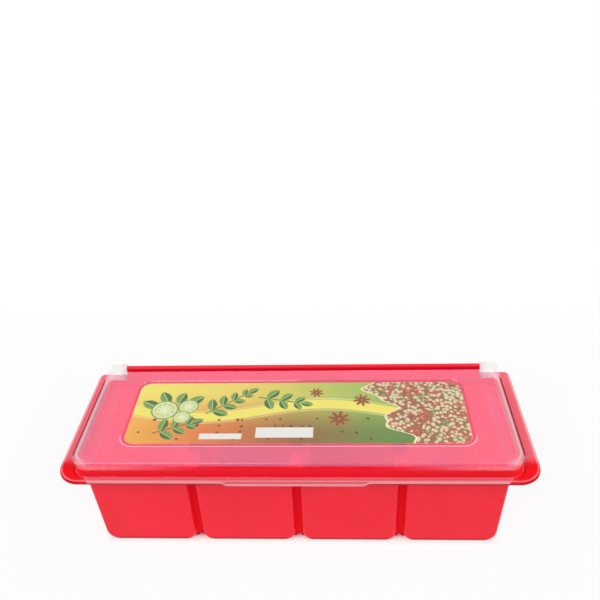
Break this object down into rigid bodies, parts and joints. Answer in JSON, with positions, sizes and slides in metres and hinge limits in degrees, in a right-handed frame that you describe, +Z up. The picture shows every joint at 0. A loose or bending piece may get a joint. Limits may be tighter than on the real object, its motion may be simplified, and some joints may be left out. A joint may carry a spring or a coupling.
{
  "type": "spice tray",
  "caption": "Low tray with a row of deep open wells under one rim and a clear lid that swings up on pins in a raised rear rail and carries a label in a recessed panel.",
  "frame": {"origin": "on the surface that the tray stands on, under the middle of the whole outline", "axes": "+X along the row of wells, to the right as seen from the front; +Y from the thumb tab to the hinge rail; +Z up"},
  "size_m": [0.31, 0.1156, 0.0759],
  "materials": {
    "tray": "glossy moulded red",
    "lid": "clear, faintly milky moulded",
    "label": "printed sheet in yellow, green and brown"
  },
  "bodies": {
    "tray": {"tray": "tray"},
    "lid": {"lid": "lid", "label": "label"}
  },
  "joints": [
    {"name": "lid_hinge", "type": "hinge", "parent": "tray", "child": "lid", "pos_m": [0, 0.05355, 0.0686], "axis": [-1, 0, 0], "range_deg": [0, 110]}
  ]
}
